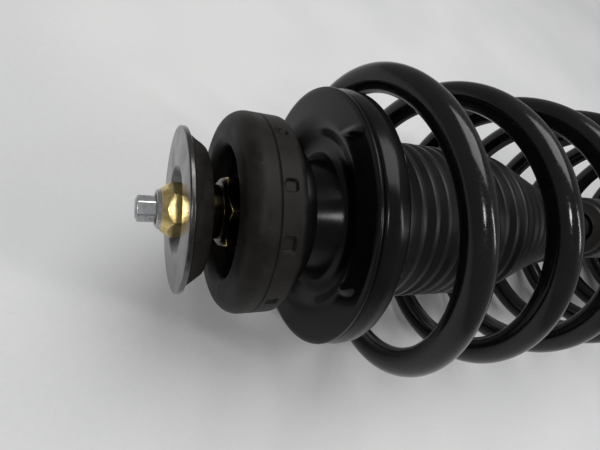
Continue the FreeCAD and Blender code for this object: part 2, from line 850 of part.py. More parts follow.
def rod_guide():
    """Sintered guide that closes both tubes. Its spigot centres the pressure tube."""
    bore = rod_radius + running_gap + bushing_wall
    return turned_body("rod_guide", [
        (guide_start, bore),
        (guide_start, tube_inside),
        (guide_back, tube_inside),
        (guide_back, pressure_radius),
        (guide_back + spigot_height, pressure_radius),
        (guide_back + spigot_height, bore),
    ])


def rod_bushing():
    """Thin lined bush in the guide that the rod slides in."""
    start = guide_start + bushing_inset
    end = guide_back + spigot_height - bushing_inset
    inside = rod_radius + running_gap
    return turned_body("rod_bushing", tube_section(start, end, inside, inside + bushing_wall))


def pressure_tube():
    """Inner tube that the piston works in."""
    outside = pressure_radius + pressure_wall
    outline = tube_section(guide_back, foot_valve_start, pressure_radius, outside)
    return turned_body("pressure_tube", outline)


def rebound_bumper():
    """Rubber ring on the rod that meets the guide when the strut is fully out."""
    outline = tube_section(bumper_start, stop_ring_start, rod_radius, bumper_radius)
    return turned_body("rebound_bumper", outline)


def rebound_ring():
    """Steel ring rolled into the rod, which backs the rebound bumper."""
    end = stop_ring_start + stop_ring_height
    return turned_body("rebound_ring", tube_section(stop_ring_start, end, rod_radius, bumper_radius))


def passage(sketch):
    draw_circle(sketch, (0, passage_circle_radius), passage_radius)


def piston():
    """Sintered piston with a ring of oil passages and a groove for its band."""
    outside = pressure_radius - piston_gap
    body = turned_body("piston", tube_section(piston_start, piston_back, stud_radius, outside))
    band_start = piston_start + (piston_height - band_height) / 2
    groove = tube_section(band_start, band_start + band_height, outside - band_wall, outside + 1)
    cut_groove(body, "band_groove", lambda s: draw_outline(s, groove))
    hole = cut_pocket(body, "oil_passage", piston_start - 1, piston_height + 2, passage)
    repeat_round(body, "oil_passages", hole, passage_count)
    return body


def piston_band():
    """Low-friction band in the piston's groove, which slides on the pressure tube."""
    start = piston_start + (piston_height - band_height) / 2
    inside = pressure_radius - piston_gap - band_wall
    outside = pressure_radius - running_gap
    return turned_body("piston_band", tube_section(start, start + band_height, inside, outside))


def valve_discs(label, start):
    """A stack of spring-steel discs that covers the piston's passages."""
    end = start + disc_stack_height
    return turned_body(label, tube_section(start, end, stud_radius, disc_stack_radius))


def piston_nut():
    """Nut that holds the piston and its discs on the rod's stud."""
    body = new_body("piston_nut")
    corners = hexagon(piston_nut_flats, front_angle)
    add_pad(body, "piston_nut_hexagon", piston_nut_start, piston_nut_height,
            lambda s: draw_outline(s, corners))
    cut_pocket(body, "piston_nut_thread", piston_nut_start - 1, piston_nut_height + 2,
               lambda s: draw_circle(s, (0, 0), stud_radius))
    return body


def foot_valve():
    """Valve body between the two tubes at the bottom, with passages into the reserve space."""
    body = turned_body("foot_valve", [
        (foot_valve_start - spigot_height, 0),
        (foot_valve_start - spigot_height, pressure_radius),
        (foot_valve_start, pressure_radius),
        (foot_valve_start, tube_inside - 1.5),
        (foot_cap_start - foot_valve_height / 2, tube_inside - 1.5),
        (foot_cap_start, tube_inside),
        (foot_cap_start, pressure_radius),
        (foot_cap_start - foot_valve_height / 3, pressure_radius - 2),
        (foot_cap_start - foot_valve_height / 3, 0),
    ])
    hole = cut_pocket(body, "foot_passage", foot_valve_start - spigot_height - 1,
                      foot_valve_height + spigot_height + 1, passage)
    repeat_round(body, "foot_passages", hole, passage_count)
    return body


def foot_cap():
    """Disc that closes the bottom of the outer tube."""
    return turned_body("foot_cap", [
        (foot_cap_start, 0),
        (foot_cap_start, tube_inside),
        (tube_bottom, tube_inside),
        (tube_bottom, 0),
    ])


def lower_spring_seat():
    """Pressed dish welded to the tube, with a turned-up lip round the lowest coil."""
    back = lower_seat_face + lower_seat_thickness
    lip_end = lower_seat_face - lower_seat_lip
    inside = lower_seat_radius - lower_seat_thickness
    hub_outside = tube_radius + lower_seat_thickness
    hub_end = lower_seat_face + lower_seat_hub_height
    return turned_body("lower_spring_seat", [
        (lower_seat_face - lower_seat_dip, tube_radius),
        (lower_seat_face - lower_seat_dip, lower_dip_radius),
        (lower_seat_face, lower_floor_radius),
        (lower_seat_face, inside),
        (lip_end, inside),
        (lip_end, lower_seat_radius),
        (back, lower_seat_radius),
        (back, lower_floor_radius - 1),
        (back - lower_seat_dip, lower_dip_radius - 1),
        (back - lower_seat_dip, hub_outside),
        (hub_end, hub_outside),
        (hub_end, tube_radius),
    ])


def lower_spring_isolator():
    """Rubber ring under the lowest coil."""
    inside = lower_floor_radius + 0.5
    outside = lower_seat_radius - lower_seat_thickness - 0.3
    outline = tube_section(spring_lower_face, lower_seat_face, inside, outside)
    return turned_body("lower_spring_isolator", outline)


def rectangle(low_y, high_y, low_z, high_z):
    return [(low_y, low_z), (high_y, low_z), (high_y, high_z), (low_y, high_z)]


def knuckle_bracket():
    """Folded steel bracket wrapped round the tube. Two bolts through its ears hold the knuckle."""
    body = new_body("knuckle_bracket")
    outside = rectangle(-bracket_reach, 0, -bracket_outside, bracket_outside)
    inside = rectangle(-bracket_reach - 1, 0, -tube_radius, tube_radius)
    add_pad(body, "bracket_ears", bracket_start, bracket_length, lambda s: draw_outline(s, outside))
    add_pad(body, "bracket_wrap", bracket_start, bracket_length,
            lambda s: draw_circle(s, (0, 0), bracket_outside))
    cut_pocket(body, "bracket_gap", bracket_start - 1, bracket_length + 2,
               lambda s: draw_outline(s, inside))
    cut_pocket(body, "bracket_seat", bracket_start - 1, bracket_length + 2,
               lambda s: draw_circle(s, (0, 0), tube_radius))
    round_ear_corners(body)
    drill_bolt_holes(body)
    return body


def round_ear_corners(body):
    """Rounds the four free corners of the two ears."""
    edges = []
    for i, edge in enumerate(body.Shape.Edges):
        box = edge.BoundBox
        at_tip = abs(box.YMin + bracket_reach.number) < 0.01 and box.YLength < 0.01
        if at_tip and abs(box.ZLength - bracket_thickness.number) < 0.01:
            edges.append("Edge" + str(i + 1))
    add_fillet(body, "ear_corners", bracket_corner_round, edges, 4)


def drill_bolt_holes(body):
    """Two bolt holes straight through both ears."""
    before = body.Shape.Volume
    middle = bracket_start + bracket_length / 2
    sketch = sketch_on(body, "bolt_hole_sketch", "XY_Plane")
    draw_circle(sketch, (middle - bolt_spacing / 2, -bolt_reach), bolt_radius)
    draw_circle(sketch, (middle + bolt_spacing / 2, -bolt_reach), bolt_radius)
    holes = body.newObject("PartDesign::Pocket", "bolt_holes")
    holes.Profile = sketch
    holes.SideType = "Symmetric"
    holes.setExpression("Length", (bracket_outside * 2 + 2).text)
    doc.recompute()
    if body.Shape.Volume >= before:
        raise RuntimeError("the bolt holes cut nothing")


def hose_bracket():
    """Small steel tab welded to the tube, with a hole for the brake hose grommet."""
    body = new_body("hose_bracket")
    half = hose_plate_width / 2
    plate = rectangle(-half, half, tube_radius - 4, hose_plate_reach)
    add_pad(body, "hose_plate", hose_plate_start, hose_plate_thickness,
            lambda s: draw_outline(s, plate))
    cut_pocket(body, "hose_plate_foot", hose_plate_start - 1, hose_plate_thickness + 2,
               lambda s: draw_circle(s, (0, 0), tube_radius))
    cut_pocket(body, "hose_hole", hose_plate_start - 1, hose_plate_thickness + 2,
               lambda s: draw_circle(s, (0, hose_hole_reach), hose_hole_radius))
    edges = []
    for i, edge in enumerate(body.Shape.Edges):
        box = edge.BoundBox
        if box.YLength < 0.01 and box.ZLength < 0.01 and abs(box.ZMin - hose_plate_reach.number) < 0.01:
            edges.append("Edge" + str(i + 1))
    add_fillet(body, "hose_plate_corners", hose_plate_round, edges, 2)
    return body


sub_parts = [
    piston_rod(),
    top_nut(),
    stop_plate(),
    stop_plate_rubber(),
    collar_nut(),
    mount_rubber(),
    mount_core(),
    bearing_upper_race(),
    bearing_balls(),
    bearing_cage(),
    bearing_lower_race(),
    bearing_seal(),
    upper_spring_seat(),
    spring_cup(),
    upper_spring_isolator(),
    stop_washer(),
    bump_stop(),
    dust_boot(),
    coil_spring(),
    damper_tube(),
    tube_cap(),
    rod_seal(),
    rod_guide(),
    rod_bushing(),
    pressure_tube(),
    rebound_bumper(),
    rebound_ring(),
    piston(),
    piston_band(),
    valve_discs("upper_valve_discs", piston_start - disc_stack_height),
    valve_discs("lower_valve_discs", piston_back),
    piston_nut(),
    foot_valve(),
    foot_cap(),
    lower_spring_seat(),
    lower_spring_isolator(),
    knuckle_bracket(),
    hose_bracket(),
]
doc.recompute()

for item in doc.Objects:
    if "Invalid" in item.State or "Error" in item.State:
        raise RuntimeError(item.Name + " did not compute")
for item in sub_parts:
    if item.Shape.isNull() or not item.Shape.isValid():
        raise RuntimeError(item.Label + " has no valid shape")

os.makedirs("parts", exist_ok=True)
for item in sub_parts:
    item.Shape.exportStep("parts/" + item.Label + ".step")
    print(item.Label, round(item.Shape.Volume), len(item.Shape.Solids))
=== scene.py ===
from math import cos, pi, radians, sin, tau

import bpy
import numpy as np
from mathutils import Matrix, Vector


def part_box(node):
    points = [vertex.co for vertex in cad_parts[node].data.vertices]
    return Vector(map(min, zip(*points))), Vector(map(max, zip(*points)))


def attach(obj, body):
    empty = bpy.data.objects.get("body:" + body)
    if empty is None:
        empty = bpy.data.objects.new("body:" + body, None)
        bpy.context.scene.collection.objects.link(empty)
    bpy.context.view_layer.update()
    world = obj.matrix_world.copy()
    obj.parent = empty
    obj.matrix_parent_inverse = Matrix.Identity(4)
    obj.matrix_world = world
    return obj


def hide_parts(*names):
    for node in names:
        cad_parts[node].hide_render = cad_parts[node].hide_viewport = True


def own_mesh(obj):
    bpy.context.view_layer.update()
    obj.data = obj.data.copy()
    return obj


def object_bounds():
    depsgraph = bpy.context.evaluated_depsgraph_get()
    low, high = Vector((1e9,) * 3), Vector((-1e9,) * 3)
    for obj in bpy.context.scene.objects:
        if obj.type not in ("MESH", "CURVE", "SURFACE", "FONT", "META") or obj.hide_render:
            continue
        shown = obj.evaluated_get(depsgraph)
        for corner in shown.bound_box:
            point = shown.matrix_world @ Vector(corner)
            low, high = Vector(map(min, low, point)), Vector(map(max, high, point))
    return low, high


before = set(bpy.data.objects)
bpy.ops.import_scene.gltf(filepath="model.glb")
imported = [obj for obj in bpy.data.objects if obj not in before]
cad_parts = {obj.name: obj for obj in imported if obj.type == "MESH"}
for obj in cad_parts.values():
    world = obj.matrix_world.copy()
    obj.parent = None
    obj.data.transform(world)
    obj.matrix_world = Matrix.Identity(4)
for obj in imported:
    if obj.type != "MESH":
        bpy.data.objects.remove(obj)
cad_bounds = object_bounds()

MM = 0.001
TABLE_SIZE = 6.0
TABLE_PALE = (0.71, 0.71, 0.71)
TABLE_GREY = (0.63, 0.635, 0.64)


class Wire:
    """A socket of a material, so that shader maths reads as ordinary sums."""

    def __init__(self, tree, socket=None):
        self.tree = tree
        self.socket = socket

    def node(self, kind, settings, values, output=0):
        """Adds a node: its settings first, then what its sockets take. Gives back one output."""
        made = self.tree.nodes.new(kind)
        for name, value in settings.items():
            if name == "stops":
                while len(made.color_ramp.elements) < len(value):
                    made.color_ramp.elements.new(0.5)
                for stop, (place, colour) in zip(made.color_ramp.elements, value):
                    stop.position = place
                    stop.color = (*colour, 1)
            else:
                setattr(made, name, value)
        for name, value in values.items():
            if isinstance(value, Wire):
                self.tree.links.new(value.socket, made.inputs[name])
            elif isinstance(value, tuple) and made.inputs[name].type == "RGBA":
                made.inputs[name].default_value = (*value, 1)
            else:
                made.inputs[name].default_value = value
        return Wire(self.tree, made.outputs[output])

    def sum(self, operation, first, second=0.0):
        return self.node("ShaderNodeMath", {"operation": operation}, {0: first, 1: second})

    def __add__(self, other):
        return self.sum("ADD", self, other)

    def __radd__(self, other):
        return self.sum("ADD", other, self)

    def __sub__(self, other):
        return self.sum("SUBTRACT", self, other)

    def __rsub__(self, other):
        return self.sum("SUBTRACT", other, self)

    def __mul__(self, other):
        return self.sum("MULTIPLY", self, other)

    def __rmul__(self, other):
        return self.sum("MULTIPLY", other, self)


class Finish:
    """A material in the making, with the few patterns that these finishes are made of."""

    def __init__(self, name, **settings):
        self.material = bpy.data.materials.new(name)
        self.material.use_nodes = True
        self.tree = self.material.node_tree
        self.shader = self.tree.nodes["Principled BSDF"]
        self.maker = Wire(self.tree)
        self.place = self.maker.node("ShaderNodeTexCoord", {}, {}, "Object")
        self.x = self.maker.node("ShaderNodeSeparateXYZ", {}, {0: self.place}, 0)
        for socket, value in settings.items():
            self.set(socket.replace("_", " "), value)

    def set(self, socket, value):
        target = self.shader.inputs[socket]
        if isinstance(value, Wire):
            self.tree.links.new(value.socket, target)
        elif isinstance(value, tuple):
            target.default_value = (*value, 1)
        else:
            target.default_value = value
        return self

    def noise(self, grain_mm, detail=3.0, rough=0.55, stretch=(1, 1, 1), shift=0.0):
        """Soft cloudy pattern from 0 to 1 whose patches are about grain_mm across."""
        place = self.maker.node(
            "ShaderNodeMapping", {}, {"Vector": self.place, "Scale": stretch, "Location": (shift,) * 3}
        )
        values = {"Vector": place, "Scale": 1 / (grain_mm * MM), "Detail": detail, "Roughness": rough}
        return self.maker.node("ShaderNodeTexNoise", {}, values)

    def between(self, value, low, high, start=0.0, end=1.0):
        """Turns low..high into start..end, and holds it there outside."""
        values = {"Value": value, "From Min": low, "From Max": high, "To Min": start, "To Max": end}
        return self.maker.node("ShaderNodeMapRange", {}, values)

    def blend(self, mask, first, second):
        """first where the mask is 0, second where it is 1."""
        values = {"Factor": mask, 6: first, 7: second}
        return self.maker.node("ShaderNodeMix", {"data_type": "RGBA"}, values, 2)

    def bump(self, height, depth_mm, strength=1.0):
        values = {"Height": height, "Distance": depth_mm * MM, "Strength": strength}
        return self.set("Normal", self.maker.node("ShaderNodeBump", {}, values))


def table_top():
    f = Finish("table_laminate", Specular_IOR_Level=0.35)
    clouds = f.noise(180, 2)
    grain = f.noise(2.2, 4)
    f.set("Base Color", f.blend(f.between(clouds + grain * 0.25, 0.45, 0.8), TABLE_PALE, TABLE_GREY))
    f.set("Roughness", f.between(grain, 0.3, 0.7, 0.5, 0.62))
    f.bump(grain, 0.05, 0.35)
    return f.material


half_table = TABLE_SIZE / 2
table_height = cad_bounds[0].z - 0.0005
table_mesh = bpy.data.meshes.new("table")
table_mesh.from_pydata(
    [(x * half_table, y * half_table, table_height) for x, y in ((-1, -1), (1, -1), (1, 1), (-1, 1))],
    [],
    [(0, 1, 2, 3)],
)
table_mesh.materials.append(table_top())
table = bpy.data.objects.new("table", table_mesh)
bpy.context.scene.collection.objects.link(table)

# ---------------------------------------------------------------------------------------------------
# Piston rod. A hard chromed, ground steel rod, turned down at the top for an M14 thread, with a zinc
# plated hexagon at the very tip that a spanner holds while the top nut is done up.
# ---------------------------------------------------------------------------------------------------
ROD_GROUP = "rod_and_seat"
TIP_FLATS = 10.0
TIP_LENGTH = 9.3
THREAD_RADIUS = 7.0
THREAD_PITCH = 1.5
ROD_RADIUS = 11.0
FRONT_ANGLE = radians(25)


def ends(node):
    """Where a CAD node starts and ends along the strut, and its outer radius, in millimetres."""
    low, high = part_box(node)
    return low.x / MM, high.x / MM, (high.z - low.z) / 2 / MM


def rounded(corners, steps=6, soft=0.25):
    """An outline with its corners rounded. A corner is (x, radius) or (x, radius, rounding)."""
    spots = [np.array(corner[:2], float) for corner in corners]
    outline = []
    for i, corner in enumerate(corners):
        here, before, after = spots[i], spots[i - 1] - spots[i], spots[(i + 1) % len(spots)] - spots[i]
        reach = min(np.linalg.norm(before), np.linalg.norm(after)) * 0.48
        before, after = before / np.linalg.norm(before), after / np.linalg.norm(after)
        half = np.arccos(np.clip(before @ after, -1, 1)) / 2
        rounding = corner[2] if len(corner) > 2 else soft
        cut = min(rounding / np.tan(half), reach) if half < 1.56 else 0.0
        if cut < 0.01:
            outline.append(tuple(here))
            continue
        middle = before + after
        centre = here + middle / np.linalg.norm(middle) * cut / np.cos(half)
        start, end = here + before * cut - centre, here + after * cut - centre
        swing = np.arctan2(start[0] * end[1] - start[1] * end[0], start @ end)
        for step in range(steps + 1):
            c, s = np.cos(swing * step / steps), np.sin(swing * step / steps)
            outline.append((centre[0] + c * start[0] - s * start[1], centre[1] + s * start[0] + c * start[1]))
    return outline


def finely(outline, step, closed=True):
    """The outline with points no further apart than step."""
    points = []
    stop = len(outline) if closed else len(outline) - 1
    for i in range(stop):
        a, b = np.array(outline[i]), np.array(outline[(i + 1) % len(outline)])
        parts = max(1, int(np.ceil(np.linalg.norm(b - a) / step)))
        points += [tuple(a + (b - a) * k / parts) for k in range(parts)]
    return points if closed else points + [tuple(outline[-1])]


def grid_piece(name, points, body, finish, closed=True, sharp=38.0):
    """A piece from a grid of points in millimetres that wraps round, and along if it is closed."""
    rows, columns = points.shape[:2]
    index = np.arange(rows * columns).reshape(rows, columns)
    if closed:
        index = np.vstack([index, index[:1]])
    index = np.hstack([index, index[:, :1]])
    faces = np.stack([index[:-1, :-1], index[1:, :-1], index[1:, 1:], index[:-1, 1:]], -1).reshape(-1, 4)
    flat = points.reshape(-1, 3) * MM
    centre = flat.mean(0)
    a, b, c = (flat[faces[:, i]] - centre for i in (0, 1, 2))
    inside_out = np.einsum("ij,ij->i", a, np.cross(b, c)).sum() < 0
    faces = (faces[:, ::-1] if inside_out else faces).tolist()
    if not closed:
        first, last = index[0, :-1].tolist(), index[-1, :-1].tolist()
        faces += [first, last[::-1]] if inside_out else [first[::-1], last]
    mesh = bpy.data.meshes.new(name)
    mesh.from_pydata(flat.tolist(), [], faces)
    mesh.polygons.foreach_set("use_smooth", [True] * len(mesh.polygons))
    mesh.set_sharp_from_angle(angle=radians(sharp))
    mesh.materials.append(finish)
    piece = bpy.data.objects.new(name, mesh)
    bpy.context.scene.collection.objects.link(piece)
    if body:
        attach(piece, body)
    return piece


def turned(name, outline, body, finish, around=180, shape=None, closed=True, sharp=38.0):
    """A piece turned about the strut's axis. shape may move each point: (x, radius, angle) to (x, radius)."""
    angle = np.linspace(0, tau, around, endpoint=False)[None, :]
    x = np.array([p[0] for p in outline])[:, None] + 0 * angle
    radius = np.array([p[1] for p in outline])[:, None] + 0 * angle
    angle = angle + 0 * x
    if shape:
        x, radius = shape(x, radius, angle)
    points = np.stack([x, -radius * np.sin(angle), radius * np.cos(angle)], -1)
    return grid_piece(name, points, body, finish, closed, sharp)


def hexagonal(flats, corner_angle, corner_share=0.985):
    """Keeps a turned shape within a hexagon whose corners are just broken."""

    def shape(x, radius, angle):
        off_flat = (angle - corner_angle) % (pi / 3) - pi / 6
        side = np.minimum(flats / 2 / np.cos(off_flat), flats / 2 / cos(pi / 6) * corner_share)
        return x, np.minimum(radius, side)

    return shape


def zinc():
    f = Finish("bright_zinc", Metallic=1.0)
    stain = f.between(f.noise(1.3, 4, 0.65), 0.57, 0.7)
    cloud = f.noise(4, 3)
    clean = f.blend(f.between(cloud, 0.35, 0.65), (0.46, 0.47, 0.48), (0.30, 0.31, 0.325))
    f.set("Base Color", f.blend(stain, clean, (0.08, 0.075, 0.07)))
    f.set("Roughness", f.between(cloud, 0.3, 0.7, 0.16, 0.28) + stain * 0.2)
    f.bump(f.noise(0.5, 3, 0.6, (0.25, 1, 1)), 0.05, 0.6)
    return f.material


def chrome():
    f = Finish("hard_chrome", Metallic=1.0)
    grind = f.noise(0.5, 2, 0.5, (1, 0.05, 0.05))
    oil = f.between(f.noise(16, 3), 0.45, 0.75)
    f.set("Base Color", f.blend(oil, (0.70, 0.71, 0.73), (0.50, 0.48, 0.44)))
    f.set("Roughness", 0.1 + oil * 0.14 + grind * 0.05)
    f.bump(grind, 0.004, 0.4)
    return f.material


rod_front, rod_back, _ = ends("piston_rod")
_, shoulder, _ = ends("stop_washer")
piston_front, _, _ = ends("upper_valve_discs")
tip_end = rod_front + TIP_LENGTH
tip_chamfer = [(rod_front, 3.9), (rod_front + 0.5, 4.8), (rod_front + 1.1, 5.9), (tip_end + 1, 5.9)]
turned("rod_tip", finely(tip_chamfer, 0.25, False), ROD_GROUP, zinc(), 240,
       hexagonal(TIP_FLATS, FRONT_ANGLE + pi / 6, 0.965), closed=False)


def rod_outline():
    """Thread ridges down to the shoulder, then the ground shank and the stud for the piston."""
    ridges = int((shoulder - tip_end - 1) / THREAD_PITCH)
    outline = [(tip_end, THREAD_RADIUS - 1.2)]
    for ridge in range(ridges):
        start = tip_end + 0.6 + ridge * THREAD_PITCH
        outline += [(start, THREAD_RADIUS - 0.75), (start + THREAD_PITCH * 0.45, THREAD_RADIUS - 0.02)]
        outline += [(start + THREAD_PITCH * 0.55, THREAD_RADIUS - 0.02)]
    outline += [
        (shoulder - 0.3, THREAD_RADIUS - 0.75), (shoulder, THREAD_RADIUS), (shoulder, ROD_RADIUS - 0.5)
    ]
    outline += [
        (shoulder + 0.5, ROD_RADIUS), (piston_front - 0.5, ROD_RADIUS), (piston_front, ROD_RADIUS - 0.5)
    ]
    return outline + [(piston_front, 6.0), (rod_back - 0.6, 6.0), (rod_back, 5.4)]


rod = turned("rod_shank", rod_outline(), ROD_GROUP, chrome(), 96, closed=False, sharp=30)
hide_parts("piston_rod")

# ---------------------------------------------------------------------------------------------------
# Top nut and collar nut. Forged steel hexagons, chamfered on both ends and zinc plated, then dipped for
# the yellow colour. The top nut is locked by a crimped ring left bright; the collar nut has a long collar.
# ---------------------------------------------------------------------------------------------------
TOP_FLATS = 21.0
COLLAR_FLATS = 30.0
GOLD_BRIGHT = (0.82, 0.67, 0.30)
GOLD_DEEP = (0.48, 0.35, 0.13)
RING_GREY = (0.52, 0.51, 0.49)


def yellow_zinc(name, ring_end_mm, shaded_with_corner_glints=False):
    """Yellow zinc plate. What lies before ring_end_mm is the bare lock ring.

    When the last flag is set, the plate is painted dark as shade and stays gold only near the hexagon's
    corners, as a painted glint.
    """
    f = Finish(name, Metallic=1.0)
    cloud = f.noise(5, 4, 0.6)
    fine = f.noise(0.9, 4, 0.7)
    gold = f.blend(f.between(cloud, 0.36, 0.66), GOLD_BRIGHT, GOLD_DEEP)
    gold = f.blend(f.between(fine, 0.6, 0.8, 0, 0.6), gold, (0.25, 0.19, 0.11))
    bare = f.between(f.x, (ring_end_mm - 0.3) * MM, ring_end_mm * MM, 1, 0)
    # Painted shade and glint: all that lies nearer the axis than the corners is painted near-black, and the
    # corners keep the gold as a painted highlight.
    if shaded_with_corner_glints:
        axis_distance = f.maker.node("ShaderNodeVectorMath", {"operation": "LENGTH"}, {
            0: f.maker.node("ShaderNodeVectorMath", {"operation": "MULTIPLY"}, {0: f.place, 1: (0, 1, 1)}),
        }, 1)
        gold = f.blend(f.between(axis_distance, 15.6 * MM, 16.4 * MM), (0.035, 0.027, 0.015), gold)
    steel = f.blend(f.between(fine, 0.4, 0.7), RING_GREY, (0.22, 0.21, 0.20))
    f.set("Base Color", f.blend(bare, gold, steel))
    f.set("Roughness", f.between(cloud, 0.3, 0.7, 0.12, 0.22) + fine * 0.08)
    f.bump(fine, 0.04, 0.5)
    return f.material


nut_front, nut_base, _ = ends("top_nut")
ring_base = nut_base - 12.0
top_outline = rounded([
    (nut_front + 0.6, 7.1), (nut_front, 7.4, 0.2), (nut_front + 0.4, 8.3, 0.6), (ring_base - 0.1, 8.9, 0.4),
    (ring_base, 9.2, 0.1), (ring_base + 4.8, 12.4, 0.1), (nut_base - 1.3, 12.4, 0.1), (nut_base, 10.6, 0.2),
    (nut_base, 7.1),
], 4)


def crimped(x, radius, angle):
    """Three shallow crimps squeeze the lock ring onto the thread."""
    x, radius = hexagonal(TOP_FLATS, FRONT_ANGLE + pi / 6)(x, radius, angle)
    near = np.exp(-(((angle - FRONT_ANGLE - 0.6) % (tau / 3) - tau / 6) / 0.22) ** 2)
    on_ring = np.clip((ring_base - x) / 1.5, 0, 1) * (radius > 7.3)
    return x, radius - near * on_ring * 0.8


top_nut = turned(
    "top_nut_body", finely(top_outline, 0.35), ROD_GROUP, yellow_zinc("yellow_zinc_top", ring_base), 240,
    crimped,
)
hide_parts("top_nut")

collar_front, collar_base, _ = ends("collar_nut")
hex_front = collar_base - 8.0
collar_outline = rounded([
    (collar_front, 7.1), (collar_front, 12.2, 0.4), (hex_front, 12.2, 0.3), (hex_front, 13.9, 0.1),
    (hex_front + 2.4, 17.6, 0.1), (collar_base - 1.7, 17.6, 0.1), (collar_base, 14.6, 0.2),
    (collar_base, 7.1),
], 4)
# The collar nut is painted in shade, with painted glints at its hexagon's corners.
collar_nut = turned(
    "collar_nut_body", finely(collar_outline, 0.35), ROD_GROUP,
    yellow_zinc("yellow_zinc_collar", -99, True), 240, hexagonal(COLLAR_FLATS, FRONT_ANGLE),
)
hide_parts("collar_nut")

# ---------------------------------------------------------------------------------------------------
# Rebound stop plate. Pressed from 2.5 mm steel with a deep dish for the nut, bright plated, its blanked
# edge a little rolled. A coarse rubber buffer ring is vulcanised to its back.
# ---------------------------------------------------------------------------------------------------
PLATE_LIGHT = (0.145, 0.142, 0.144)
PLATE_DARK = (0.055, 0.053, 0.054)


def plated():
    f = Finish("plated_steel", Metallic=1.0)
    cloud = f.noise(14, 4, 0.6)
    spot = f.between(f.noise(2.2, 4, 0.7), 0.62, 0.72)
    scratch = f.noise(1.6, 2, 0.5, (1, 4, 0.3))
    f.set(
        "Base Color",
        f.blend(
            spot * 0.5, f.blend(f.between(cloud, 0.35, 0.65), PLATE_LIGHT, PLATE_DARK), (0.15, 0.14, 0.13)
        ),
    )
    f.set("Roughness", f.between(cloud, 0.3, 0.7, 0.16, 0.28) + spot * 0.15)
    f.bump(scratch + f.noise(0.7, 2) * 0.4, 0.03, 0.35)
    return f.material


def coarse_rubber():
    f = Finish("buffer_rubber", Specular_IOR_Level=0.1)
    cloud = f.noise(9, 4, 0.6)
    grit = f.noise(1.0, 5, 0.7)
    f.set("Base Color", f.blend(f.between(cloud, 0.35, 0.7), (0.008, 0.0065, 0.0055), (0.018, 0.016, 0.014)))
    f.set("Roughness", f.between(grit, 0.3, 0.7, 0.6, 0.85))
    f.bump(grit + cloud * 2, 0.25, 0.6)
    return f.material


def waves(rise, seed, count=5):
    """A gentle unevenness round a piece, as a sum of a few waves."""
    random = np.random.default_rng(seed)
    terms = [(k + 1, random.uniform(0, tau), random.uniform(0.4, 1) / (k + 1) ** 0.6) for k in range(count)]
    return lambda angle: rise * sum(size * np.sin(k * angle + phase) for k, phase, size in terms) / 1.5


plate_front, plate_back, plate_radius = ends("stop_plate")
dish_floor = plate_back - 2.5
plate_outline = rounded([
    (dish_floor, 7.2), (dish_floor, 13.9, 1.2), (plate_front + 0.25, 19.2, 1.6),
    (plate_front + 0.25, plate_radius - 0.1, 0.7),
    (plate_front + 2.45, plate_radius - 0.1, 0.5), (plate_front + 2.45, 20.4, 1.5), (plate_back, 15.2, 1.5),
    (plate_back, 7.2),
])
plate_wave = waves(0.12, 3)
stop_plate = turned(
    "stop_plate_pressing", finely(plate_outline, 1.5), ROD_GROUP, plated(), 240,
    lambda x, r, a: (x + plate_wave(a) * np.clip((r - 20) / 16, 0, 1), r),
)
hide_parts("stop_plate")

buffer_front, buffer_back, buffer_radius = ends("stop_plate_rubber")
buffer_wave, buffer_lump = waves(0.25, 8), waves(0.2, 5, 14)
buffer_outline = rounded([
    (buffer_front, 22.8), (buffer_front, buffer_radius - 0.4, 0.8),
    (buffer_front + 2.2, buffer_radius - 1.2, 1.2),
    (buffer_back - 0.2, 28.4, 2.4), (buffer_back - 0.2, 22.9, 1.5),
])
stop_rubber = turned(
    "stop_plate_buffer", finely(buffer_outline, 0.8), ROD_GROUP, coarse_rubber(), 240,
    lambda x, r, a: (x, r - np.abs(buffer_wave(a) + buffer_lump(a + x * 0.15)) * np.clip((r - 25) / 4, 0, 1)),
)
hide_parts("stop_plate_rubber")

# ---------------------------------------------------------------------------------------------------
# Top mount. A thick rubber ring moulded in a two-part tool round a pressed steel core, with a parting
# line, vent marks and small pockets left by the pins that held the core. The core is painted black.
# ---------------------------------------------------------------------------------------------------
MOUNT_GROUP = "turret_mount"
RUBBER_BROWN = (0.0075, 0.0062, 0.0055)
RUBBER_GREY = (0.015, 0.0135, 0.0125)


def moulded_rubber(name, dark, pale, shine=0.14):
    f = Finish(name, Specular_IOR_Level=shine)
    cloud = f.noise(11, 4, 0.62)
    fine = f.noise(0.8, 4, 0.65)
    dust = f.between(f.noise(3, 5, 0.75), 0.6, 0.8, 0, 0.4)
    f.set(
        "Base Color",
        f.blend(dust, f.blend(f.between(cloud, 0.35, 0.65), dark, pale), (0.08, 0.073, 0.067)),
    )
    f.set("Roughness", f.between(cloud, 0.3, 0.7, 0.42, 0.58) + dust * 0.25)
    f.bump(fine + cloud, 0.1, 0.4)
    return f.material


ring_front, ring_back, ring_radius = ends("mount_rubber")
core_front, core_back, core_radius = ends("mount_core")
PARTING = -0.5
ring_outline = rounded([
    (ring_front + 0.1, 40.8, 8), (ring_front + 4.8, ring_radius - 0.15, 8),
    (PARTING - 0.5, ring_radius - 0.25, 0.5),
    (PARTING, ring_radius - 0.9, 0.1), (PARTING + 0.5, ring_radius - 0.25, 0.3),
    (ring_back - 0.1, ring_radius - 0.4, 3.3),
    (ring_back - 0.1, core_radius), (core_front, core_radius), (core_front, 29.6),
    (ring_front + 0.1, 29.6, 3.8),
], 8)
PIN_POCKETS = [  # where along the ring, angle, half length, half width, depth
    (3.8, 41, 2.8, 3.4, 1.5), (3.8, 12.5, 2.6, 2.5, 1.5), (3.8, -20, 2.6, 2.2, 1.2),
    (3.8, 78, 2.6, 2.4, 1.0), (3.8, 122, 2.6, 2.2, 1.3),
    (3.8, 166, 2.6, 2.4, 1.3), (3.8, 212, 2.6, 2.2, 1.3), (3.8, 258, 2.6, 2.4, 1.3),
    (3.8, 300, 2.6, 2.2, 1.3),
]
ring_wave, step_wave = waves(0.12, 21), waves(0.5, 22, 7)


